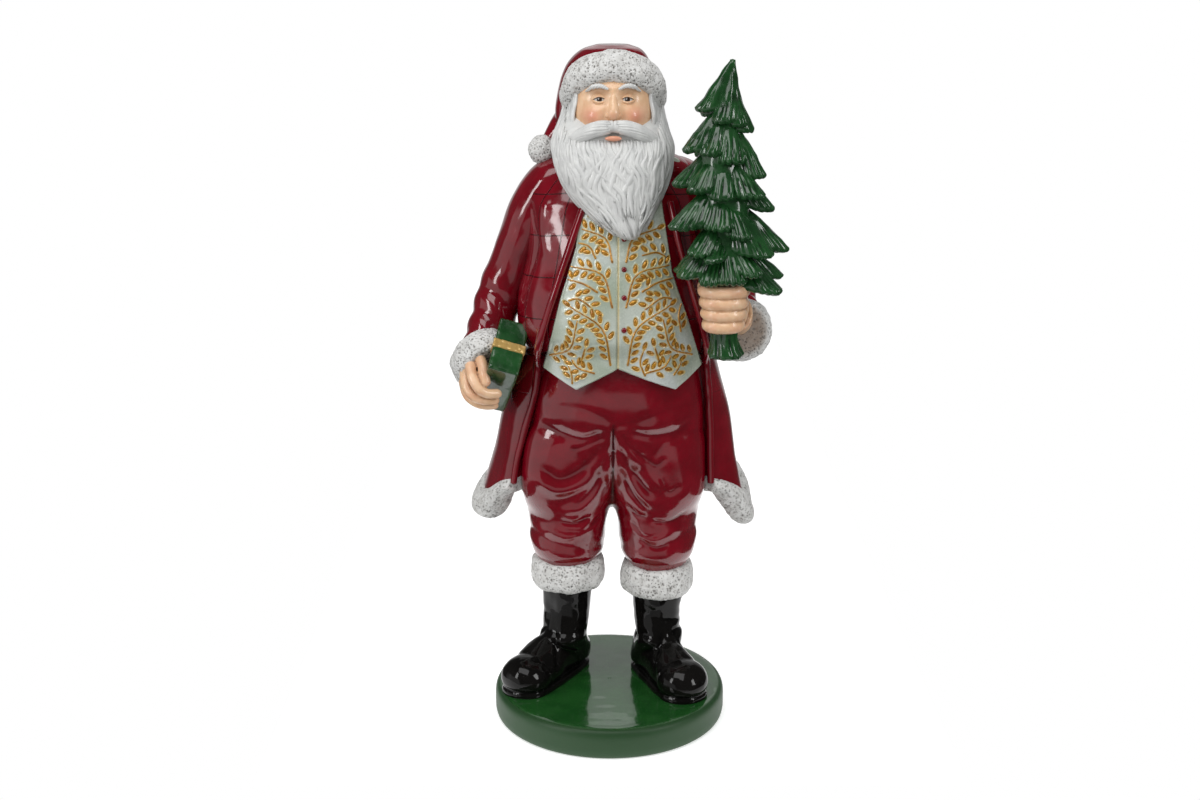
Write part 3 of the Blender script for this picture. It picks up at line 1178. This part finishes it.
def make_parcel():
    up = unit(PARCEL_UP)
    back = unit(PARCEL_BACK - up * (up @ PARCEL_BACK))
    over = np.cross(up, back)
    over = over if over[0] > 0 else -over

    def prism(section, low, high, soft):
        """The section drawn in up and back, from low to high across, with rounded corners."""
        corners = np.array(section, float)
        ring = []
        for i, corner in enumerate(corners):
            before, after = unit(corners[i - 1] - corner), unit(corners[(i + 1) % len(corners)] - corner)
            for bow in np.linspace(0, 1, 5):
                ring.append(corner + soft * (before * (1 - bow) ** 2 + after * bow ** 2))
        ring, middle = np.array(ring), corners.mean(axis=0)
        layers = [(low, 1), (low + 0.3 * soft, 0.3), (low + soft, 0),
                  (high - soft, 0), (high - 0.3 * soft, 0.3), (high, 1)]
        flat = [np.column_stack([ring - unit(ring - middle) * soft * k, np.full(len(ring), w)])
                for w, k in layers]
        axes = np.stack([up, back, over])
        grid = np.stack(flat) @ axes + PARCEL_CORNER
        first, last = np.array([[*middle, low], [*middle, high]]) @ axes + PARCEL_CORNER
        return rings_to_shape(grid, first, last)

    shape = uneven(fuse([prism(PARCEL_SECTION, 0, PARCEL_WIDE, 0.9)], 0.8, 2), (0.2, 6, 71), (0.06, 2, 73))
    deep, high = hollows(shape, 5, 0.4)
    add("parcel", shape, "tree_green", 0.5, crest=high * 0.7, wash=deep)
    shape = fuse([prism(RIBBON_SECTION, -0.7, PARCEL_WIDE + 0.7, 0.4)], 0.55, 2)
    shape = uneven(shape, (0.2, 1.8, 72), squash=(1, 1, 0.4))
    add("parcel_ribbon", shape, "gold_paint", 0.5, wash=hollows(shape, 4, 0.3)[0],
        gilt=np.full(len(shape[0]), 0.8))


# Boughs: the tip's x, y and z, half the width of the rim, and how far above the tip the bough starts.
# Those that start above SPIRE_FROM are the tree's spire, which is steeper and smoother.
SPIRE_FROM = 385
BOUGHS = [
    (45.6, -41, 368.2, 6.5, 25), (56.9, -51.5, 362.8, 6.5, 30), (76.2, -43.5, 357.3, 6.5, 36),
    (62, -29, 361, 8, 32), (49, -32, 365, 7, 28), (70, -50, 361, 5.5, 32), (38.7, -46.2, 346.9, 7.5, 25),
    (49.8, -55.3, 345.9, 6.5, 24), (65.7, -57.9, 342, 8, 26), (82.6, -49.5, 333.5, 7.5, 32),
    (76, -27, 340, 9, 26), (50, -26, 343, 9, 24), (33.8, -40.6, 327.9, 7.5, 24),
    (43.1, -57.7, 326.6, 7.5, 22), (59.9, -63.6, 323.2, 7.5, 24), (80, -59.4, 323.7, 8.5, 24),
    (88.5, -44.3, 315.4, 7.5, 26), (74, -23, 319, 10, 26), (47, -23, 322, 10, 24),
    (32.2, -59.3, 307, 8.5, 25), (56.8, -68, 307.4, 8.5, 22), (85.7, -64.4, 292.7, 9.5, 32),
    (97, -46.5, 293.3, 8, 30), (82, -23, 298, 11, 26), (57, -19, 302, 11, 24), (34, -37, 304, 9, 24),
    (72, -68, 303, 7, 22), (44, -66, 293.5, 8, 22), (36.6, -61.4, 280.8, 8, 28),
    (52.1, -70.5, 290.5, 5.5, 15), (50.8, -68.8, 278.5, 7, 22), (66.1, -70.7, 279, 8.5, 28),
    (91.8, -61.7, 272.6, 8.5, 22), (94, -41, 278, 10, 24), (75, -25, 276, 11, 24), (52, -24, 279, 11, 24),
    (35, -41, 281, 10, 24), (79, -69, 283, 7, 20),
]
SPINE = np.array([[266, 64.5, -51], [292, 64.5, -49], [310, 62, -47.5], [330, 60.5, -45.5], [350, 60, -43],
                  [372, 62.5, -40], [394, 65.1, -38]])


def spine_at(z):
    return np.array([np.interp(z, SPINE[:, 0], SPINE[:, k]) for k in (1, 2)])


def bough(tip, wide, rise, seed):
    """One hanging bough: a tent from a narrow top at the trunk to a broad rim, combed into needles."""
    top = tip[2] + rise
    spire = top > SPIRE_FROM
    axis = spine_at(top)
    reach = math.hypot(*(tip[:2] - axis))
    out = (tip[:2] - axis) / reach
    across = np.array([-out[1], out[0]])
    tent = np.ones(14)
    under = np.array([(0.99, -0.9), (0.95, -2.0), (0.87, -2.7), (0.74, -2.8), (0.52, -2.0), (0.27, -0.6)])
    t = np.concatenate([np.linspace(0, 1, 14), np.ones(6)])[:, None]
    inset = np.concatenate([tent, under[:, 0]])[:, None]
    sag = np.concatenate([0 * tent, under[:, 1]])[:, None]
    angle = around(110)
    hang = 1.4 + 0.4 * out[0] if spire else 0.82
    far = reach * (0.06 + 0.94 * t ** hang)
    near = -1.5 - 0.4 * wide * t
    middle, half = (far + near) / 2, (far - near) / 2
    broad = 1.12 * wide * (0.15 + 0.85 * t ** (0.97 * hang))
    along, side = half * bowed(np.cos(angle), 2 / 2.4), broad * bowed(np.sin(angle), 2 / 2.4)
    count = round(0.78 * (half[-1, 0] + wide))
    sway = 0.7 * np.sin(5 * t + seed) + 0.5 * np.sin(2 * angle + seed)
    comb = np.abs(np.sin(count * angle / 2 + sway)) ** 0.9
    strong = (1.35 + 0.45 * math.sin(1.7 * seed)) * (0.45 if spire else 1)
    deep = strong * (comb - 0.64) * ramp(t, 0.2 + 0.016 * (rise - 20), 1.0)
    scale = inset * (1 + deep / np.maximum(np.hypot(along, side), 1))
    along, side = along * scale, side * scale
    height = 1.2 + top - rise * t + 0.15 * (far - middle - along) * t + sag - 0.35 * deep * (t > 0.99)
    grid = np.stack([axis[0] + out[0] * (middle + along) + across[0] * side,
                     axis[1] + out[1] * (middle + along) + across[1] * side, height], axis=-1)
    first = np.array([*axis, top + 1.6])
    last = np.array([*(axis + out * middle[-1, 0]), tip[2] + 3 + 0.15 * half[-1, 0]])
    return rings_to_shape(grid, first, last)


def make_tree():
    def bark(grid, t, angle, centre):
        ridges = 0.45 * np.cos(7 * angle + 3 * t) + 0.3 * np.cos(13 * angle - 5 * t)
        return grid + unit(grid - centre) * ridges[..., None]

    trunk = body([
        [282, 65, -50, 6.5, 6.5], [262, 64, -54, 6.8, 6.8], [252, 62.6, -55, 7.3, 7.1],
        [246, 62.2, -55, 7.4, 7.2], [241, 62.6, -55, 8.3, 8], [237.5, 63, -55, 9.6, 9.0],
        [235.6, 63, -55, 8.6, 8.0],
    ], 64, 60, carve=bark)
    girths = (391, 1.5), (380, 3.2), (366, 7), (350, 10), (330, 12.5), (308, 14), (290, 15), (276, 11)
    core = body([[z, *spine_at(z), r, r * 0.9] for z, r in girths], 48, 60)
    boughs = [bough(np.array(row[:3], float), *row[3:], k) for k, row in enumerate(BOUGHS)]
    shape = uneven(join([trunk, core, *boughs]), (0.55, 5, 81), (0.16, 2, 82))
    deep, high = hollows(shape, 5, 0.35)
    add("tree", shape, "tree_green", 0.52, wash=deep, crest=high * 0.25)


# Head

FACE_X, EYE_OUT = 1.5, 7.6  # the face's middle line, and each eye's distance from it


def make_face():
    rows = [
        [389, 1.5, -6, 12, 14], [382, 1.5, -7, 20, 21], [372, 1.5, -7.5, 23.5, 24],
        [362, 1.5, -8, 24, 25], [352, 1.5, -8, 23, 24], [342, 1.5, -6, 18, 19],
    ]
    eye_centres = [np.array([FACE_X + side * EYE_OUT, -25.9, 372.4]) for side in (-1, 1)]
    shape = fuse([body(rows, 160, 110)], 0.9, 6)
    v = shape[0]
    front = ramp(-(v[:, 1] + 8), 4, 14)
    x, z = v[:, 0] - FACE_X, v[:, 2]

    def spot(cx, cz, wx, wz):
        return bell(np.abs(x) - cx, wx) * bell(z - cz, wz)

    cheeks, sockets, brows = (spot(*place) for place in (
        (11.5, 363.5, 5.4, 4.6), (7.6, 372.4, 4.6, 3.2), (8.5, 378.6, 6.5, 2.2)))
    bridge, chin = bell(x, 2.2) * bell(z - 373, 6), bell(x, 7) * bell(z - 353, 3.5)
    creases = spot(5.2, 362.5, 1.6, 3.5)
    sculpt = 1.7 * cheeks - 1.9 * sockets + 1.0 * brows + 0.9 * bridge - 0.6 * creases + 0.5 * chin
    shape = push(shape, sculpt * front)
    nose = fuse([
        loft([[1.5, -29.5, 375, 2.0, 2], [1.5, -31.6, 370, 2.5, 2.8], [1.5, -33.4, 365.6, 3.3, 3.4],
              [1.5, -32.2, 363.0, 3.0, 2.6]], 40, 40, tips=(1, 1.4)),
        ball([-1.4, -31.2, 364.2], [2.1, 2.4, 1.8]), ball([4.4, -31.2, 364.2], [2.1, 2.4, 1.8]),
    ], 0.4, 6)

    # Lids are balls a little larger than the eyes, dented to less than them inside the almond opening.
    lids = []
    for centre in eye_centres:
        v, f = ball(centre, [1, 1, 1], 90, 70)
        off = v - centre
        dx, dz = off[:, 0] * 4.4, off[:, 2] * 4.4
        arch = np.clip(1 - (dx / 3.5) ** 2, 0, 1)
        opening = np.minimum(1.45 * arch - dz, dz + 1.0 * arch - 0.05)
        size = 4.45 - 0.75 * ramp(opening, -0.05, 0.3) * (off[:, 1] < 0)
        size = size + 0.3 * bell(opening + 0.35, 0.35)
        lids.append((centre + off * size[:, None], f))
    lips = ball([1.5, -38.2, 352.6], [4.6, 1.8, 1.5])
    whole = join([shape, nose, *lids, lips])
    v = whole[0]
    x, z = v[:, 0] - FACE_X, v[:, 2]
    blush = 0.7 * bell(np.abs(x) - 12, 5.0) * bell(z - 364, 4.2) + 0.35 * bell(x, 3.2) * bell(z - 364.5, 2.6)
    blush = np.maximum(blush, 0.7 * (v[:, 1] < -35.5) * bell(z - 352.6, 2.5))
    wash = 0.4 * bell(np.abs(x) - 7.6, 4.6) * bell(z - 376.2, 1.6) + 0.5 * hollows(whole, 6, 0.5)[0]
    add("face", whole, "skin", 0.6, blush=blush * (v[:, 1] < -15), wash=wash * (v[:, 1] < -15))

    eyes, iris, glint = [], [], []
    for centre in eye_centres:
        eye = ball(centre, [4.1, 4.1, 4.1], 60, 40)
        off = eye[0] - centre
        facing = off[:, 1] < 0
        lash = []
        for dx in np.linspace(-3.4, 3.4, 11):
            dz = 1.5 * max(1 - (dx / 3.5) ** 2, 0)
            lash.append(centre + [dx, -math.sqrt(4.5 ** 2 - dx * dx - dz * dz), dz])
        half = [0.1, 0.18, 0.24, 0.27, 0.28]
        line = tube(lash, [*half, 0.28, *half[::-1]], 8, 30, hint=(0, 0, 1))
        eyes += [eye, line]
        iris += [(1 - ramp(np.hypot(off[:, 0], off[:, 2] - 0.2), 1.35, 1.6)) * facing, np.ones(len(line[0]))]
        glint += [(1 - ramp(np.hypot(off[:, 0] + 0.5, off[:, 2] - 0.75), 0.25, 0.45)) * facing,
                  np.zeros(len(line[0]))]
    add("eyes", join(eyes), "eye_paint", iris=np.concatenate(iris), glint=np.concatenate(glint))


BEARD_ROWS = [
    [366, 1.5, -6, 27, 14], [357, 1, -14, 29.5, 18], [347, 1, -18, 32.6, 20.4],
    [336, 1.8, -20.5, 31.2, 21.4], [325, 2.5, -23, 27.6, 20.2], [314, 4.5, -27, 20.2, 16.8],
    [304, 7, -32, 12, 11.4], [297.5, 10, -36, 4.6, 5.6],
]
BEARD = spline(np.array(BEARD_ROWS, float), np.linspace(0, 1, 200))[::-1]


def beard_point(angle, z, out):
    x, y, wide, deep = (np.interp(z, BEARD[:, 0], BEARD[:, k]) for k in (1, 2, 3, 4))
    return np.stack([x + (wide + out) * np.sin(angle), y - (deep + out) * np.cos(angle), z], axis=-1)


def lock(points, radius, hint, seed):
    """A tapering strand, wider than it is high, with two or three fine grooves along it."""
    middle = np.linspace(0, 1, len(points))
    taper = np.interp(middle, [0, 0.15, 0.5, 0.8, 1], [0.45, 0.85, 1, 0.8, 0.3])
    rows = [[*p, 0.8 * radius * k, 1.15 * radius * k] for p, k in zip(points, taper)]

    def comb(grid, t, angle, centre):
        return grid + unit(grid - centre) * (0.1 * radius * np.cos(4 * angle + seed + 2 * t))[..., None]

    return loft(rows, 12, 26, hint=hint, carve=comb)


def add_hair(name, shape, share, keep=1.0):
    add(name, shape, "white_beard", keep, wash=share * hollows(shape, 4, 0.4)[0])


def make_beard():
    rng = np.random.default_rng(7)
    base = fuse([body(BEARD_ROWS, 120, 100), ball([1.5, -8, 352], [26.5, 17, 10])], 0.95, 5)
    locks = [uneven(base, (0.5, 8, 92))]
    s = np.linspace(0, 1, 12)
    for layer, (count, out, size) in enumerate(((58, -0.2, 1.65), (40, 0.5, 1.25))):
        for k in range(count):
            angle = math.radians(-104 + 208 * (k + 0.5 * layer + 0.3 * rng.random()) / count)
            steep = abs(math.sin(angle))
            high = 351.5 + 17 * ramp(abs(angle), 0.75, 1.5) - (8 * rng.random() if layer else 0)
            low = 297 + 16 * rng.random() ** 2 + 9 * steep * rng.random()
            if layer:
                low += 12 * rng.random()
            z = high + (low - high) * s
            flow = 0.13 * np.sin(5.6 * s + 1.9 * angle + 0.9 * rng.random() + 2.2 * layer)
            flow += 0.05 * np.sin(12 * s + 5 * angle)
            lift = out + 0.5 * np.sin(7 * s + 9 * rng.random()) + 0.9 * ramp(s, 0.75, 1)
            points = beard_point(angle + flow * ramp(s, 0, 0.35), z, lift)
            locks.append(lock(points, size * (0.85 + 0.3 * rng.random()),
                              (math.sin(angle), -math.cos(angle), 0), 6 * rng.random()))
    add_hair("beard", join(locks), 0.5, 0.7)

    locks = []
    for side in (-1, 1):
        wing = np.array([
            [0.3, -36.6, 359.0, 3.0, 3.2], [8, -36.4, 358.0, 3.2, 3.9], [15, -33.2, 355.2, 3.2, 3.8],
            [21.5, -28, 351.2, 2.8, 3.2], [27, -21.5, 346.5, 1.6, 2.0],
        ])
        wing[:, 0] = FACE_X + side * wing[:, 0]
        locks.append(loft(wing, 40, 50, hint=(0, -1, 0), tips=(1, 2)))
        for k in range(11):
            spread = math.radians(-70 + 140 * k / 10)
            start = 0.02 + 0.1 * rng.random()
            end = 0.86 + 0.14 * rng.random()
            line = spline(wing, np.linspace(start, end, 12))
            turn = spread + 0.16 * np.sin(np.linspace(0, 5, 12) + k)
            points = line[:, :3] + np.stack([
                side * 0.25 * np.cos(turn), -line[:, 3] * np.cos(turn), line[:, 4] * np.sin(turn)], axis=-1)
            locks.append(lock(points, 1.0 + 0.15 * rng.random(), (0, -math.cos(spread), math.sin(spread)), k))
    add_hair("moustache", join(locks), 0.4)

    hair, brows = [], []
    for side in (-1, 1):
        for k in range(13):
            x0 = 20.2 + 0.45 * k + 0.4 * rng.random()
            y0 = -18.8 + 1.8 * k
            high = 378 - 1.0 * k
            points = []
            for z in np.linspace(high, 349, 10):
                x = x0 + 0.26 * (high - z) * (0.35 + 0.05 * k) + 0.5 * math.sin(0.35 * z + k)
                points.append((FACE_X + side * x, y0 - 4.0 * math.sin((high - z) / 19), z))
            hair.append(lock(points, 1.45, (side * 0.8, -0.6, 0), k))
        arch = (3.4, -31.4, 378.6), (7.0, -30.9, 380.0), (11.0, -29.0, 379.4), (14.6, -25.8, 377.0)
        brows.append(tube([(FACE_X + side * x, y, z) for x, y, z in arch], [0.8, 1.3, 1.3, 0.7], 16, 40))
    add_hair("temple_hair", join(hair), 0.4)
    shape = fuse(brows, 0.35, 3)
    v = shape[0]
    shape = push(shape, 0.14 * np.sin((np.abs(v[:, 0] - FACE_X) + 0.9 * (v[:, 2] - 378)) * 4.2))
    add("eyebrows", shape, "white_beard", wash=hollows(shape, 3, 0.2)[0] * 0.4)


def make_nape():
    """Combed hair at the back of the neck, between the hat and the collar."""
    def comb(grid, t, angle, centre):
        wave = np.cos(34 * angle + 2.5 * np.sin(3 * t + 2 * angle)) + 0.5 * np.cos(61 * angle - 3 * t)
        return grid + unit(grid - centre) * (0.4 * wave * ramp(t, 0.05, 0.3))[..., None]

    add_hair("nape_hair", body([
        [368, -1, 7, 24, 19], [356, -0.5, 8, 25.5, 19.5], [346, 0.5, 9, 25, 18.5],
        [338, 1, 9.5, 21, 15], [334, 1, 9.5, 14, 10],
    ], 240, 44, carve=comb), 0.6, 0.6)


def make_hat():
    cap = body([
        [400, 1, 3, 9, 8], [397, 0.5, 3, 17, 16], [390, -0.5, 5, 23, 21], [380, -1.5, 7, 26.5, 22],
        [368, -3, 9, 27.5, 21], [356, -5, 11, 25.5, 18], [346, -8, 14, 20, 13],
    ])
    tail = loft([
        [-12, 14, 372, 17, 13], [-20, 15, 360, 13, 10], [-28, 13, 351, 9, 8], [-35, 10, 344, 5, 5],
    ], 64, 60, hint=(0, 1, 0))
    shape = fuse([cap, tail], 1.0, 8)
    v = shape[0]
    sculpt = 0.4 * noise(v, 15, 101) + 0.1 * noise(v, 5, 102)
    for points, width, depth in (
            ([(-22, 384), (-26, 372), (-27, 358)], 1.2, 1.1),
            ([(10, 392), (0, 380), (-12, 366), (-24, 354)], 2.2, 1.2),
            ([(22, 384), (10, 368), (-8, 354)], 2.4, 1.1)):
        sculpt -= depth * stroke(v[:, [0, 2]], points, width) * ramp(v[:, 1] + v[:, 0] * -0.4, 0, 8)
    shape = push(shape, sculpt)
    add("hat", shape, "red_lacquer", wash=hollows(shape, 8, 0.5)[0])

    # The fur brim is a ring, tilted back, with a section of its own width and height.
    rings, sides = 150, 60
    angle, bow = around(rings)[:, None], around(sides)
    reach = 22.2 + 7.4 * np.cos(bow)
    grid = np.stack([reach * np.cos(angle), reach * np.sin(angle), 7.6 * np.sin(bow) + 0 * angle],
                    axis=-1) * [1, 1.06, 1.28]
    v = grid.reshape(-1, 3) @ turn_matrix(-0.75, 0, 0).T + [1.5, -5.2, 373.6]
    i = np.arange(rings * sides).reshape(rings, sides)
    quads = np.stack([i, np.roll(i, -1, 0), np.roll(np.roll(i, -1, 0), -1, 1), np.roll(i, -1, 1)], axis=-1)
    shape = fuse([outward((v, quads.reshape(-1, 4)))], 0.66, 4)
    add_fur("hat_brim", uneven(shape, (0.6, 7, 103)), 103)
    shape = fuse([ball([-38, 7, 341], [8.4, 8.4, 8.4])], 0.6, 2)
    add_fur("pompom", uneven(shape, (0.5, 4, 104)), 104)


# Studio

CAMERA_PLACE, CAMERA_DOWN = (-0.00575, -0.942, 0.457), 15.5
ROOM_GLOW, TABLE_GLOW, WINDOW_GLOW = 0.52, 0.5, 0.7
# Lamps: name, place, width, height and power.
SOFT_BOXES = [
    ("box_left", (-1.35, -1.0, 0.95), 0.4, 0.9, 9), ("box_right", (1.35, -0.95, 1.0), 0.35, 0.8, 7.5),
    ("box_top", (-0.3, -0.75, 1.7), 1.3, 0.8, 10), ("box_back", (0.2, 1.4, 1.2), 1.4, 0.8, 1.5),
]


def make_studio():
    data = bpy.data.cameras.new("camera")
    data.lens, data.sensor_width, data.sensor_fit, data.clip_start = 50, 36, "HORIZONTAL", 0.02
    camera = new_object("camera", data)
    camera.location = CAMERA_PLACE
    camera.rotation_euler = (math.radians(90 - CAMERA_DOWN), 0, 0)
    bpy.context.scene.camera = camera

    for name, place, wide, high, power in SOFT_BOXES:
        data = bpy.data.lights.new(name, "AREA")
        data.shape = "RECTANGLE"
        data.size, data.size_y = wide, high
        data.energy = power
        lamp = new_object(name, data)
        lamp.location = place
        lamp.rotation_euler = (Vector((0, 0, 0.2)) - Vector(place)).to_track_quat("-Z", "Y").to_euler()

    world = bpy.data.worlds.new("studio")
    world.use_nodes = True
    n = Nodes(world.node_tree, "Generated")
    x, y, z = n.new("SeparateXYZ", {"Vector": n.place})

    def choose(test, no, yes):
        return n.new("Mix", {0: test, 2: no, 3: yes})[0]

    def patch(*fades):
        """1 in a part of the room: each fade is an axis, where it starts and ends, and what it rises to."""
        product = None
        for axis, low, high, above in fades:
            fade = n.curve(axis, low, high, 1 - above, above)
            product = n.times(product, fade) if product else fade
        return product

    # Mirrored in gloss, the wall behind is white, the table in front is pale and the rest is dim.
    wall = n.curve(y, 0.75, 0.93, 0.06, 0.5)
    table = patch((z, -0.64, -0.5, 1), (z, -0.2, -0.14, 0), (y, -0.5, -0.42, 0), (x, 0.38, 0.46, 0))
    window = patch((x, -0.57, -0.5, 0), (y, 0.1, 0.2, 0), (z, -0.5, -0.42, 1), (z, 0.22, 0.3, 0))
    mirrored = choose(window, choose(table, wall, TABLE_GLOW), WINDOW_GLOW)
    rays = n.new("LightPath")
    strength = choose(rays["Is Camera Ray"], choose(rays["Is Glossy Ray"], ROOM_GLOW, mirrored), 1.0)
    n.feed(n.tree.nodes["Background"], {"Strength": strength, "Color": (1, 1, 1, 1)})
    bpy.context.scene.world = world
    bpy.context.scene.view_settings.view_transform = "Standard"

    # A sheet of pale card under the figure; beyond its edges the white world goes on.
    near, far, half = -0.1, 1.6, 0.2
    mesh = bpy.data.meshes.new("floor")
    mesh.from_pydata([(-half, near, 0), (half, near, 0), (half, far, 0), (-half, far, 0)], [], [(0, 1, 2, 3)])
    paint = Paint("floor_paint", 0.8, level=0.1)
    paint.feed(paint.shader, {"Emission Color": (1, 1, 1, 1), "Emission Strength": 0.5})
    colour = paint.mix(paint.noise(400, 2), (0.88, 0.88, 0.88), (0.9, 0.9, 0.9))
    mesh.materials.append(paint.finish(colour))
    new_object("floor", mesh)


make_studio()
make_base()
make_boot("boot_left", (-25, 23, 12.6), (-32, 9, 12.2), (-44, -7, 14.6), (-50, -15.5, 14.6), (-26, 12), 90)
make_boot("boot_right", (26, 17, 12.6), (31, 3, 12.2), (39.5, -14, 14.4), (43.5, -22.5, 14.8), (29.2, 9), 86)
make_knee_cuff("knee_fur_left", -25.2, 4, 98.6, 22.2, 11)
make_knee_cuff("knee_fur_right", 28.8, 4, 94.4, 22.0, 17)
make_trousers()
make_coat()
make_hem_fur()
make_sleeves()
make_wrist_cuff("wrist_fur_left", [-72, -17, 224.5], [0.45, -0.74, -0.5], 19.4, 23)
make_wrist_cuff("wrist_fur_right", [73, -29, 245], [-0.05, -0.97, 0.2], 17.8, 29)
make_vest()
make_parcel_hand()
make_tree_hand()
make_parcel()
make_tree()
make_face()
make_beard()
make_nape()
make_hat()

bpy.context.view_layer.update()
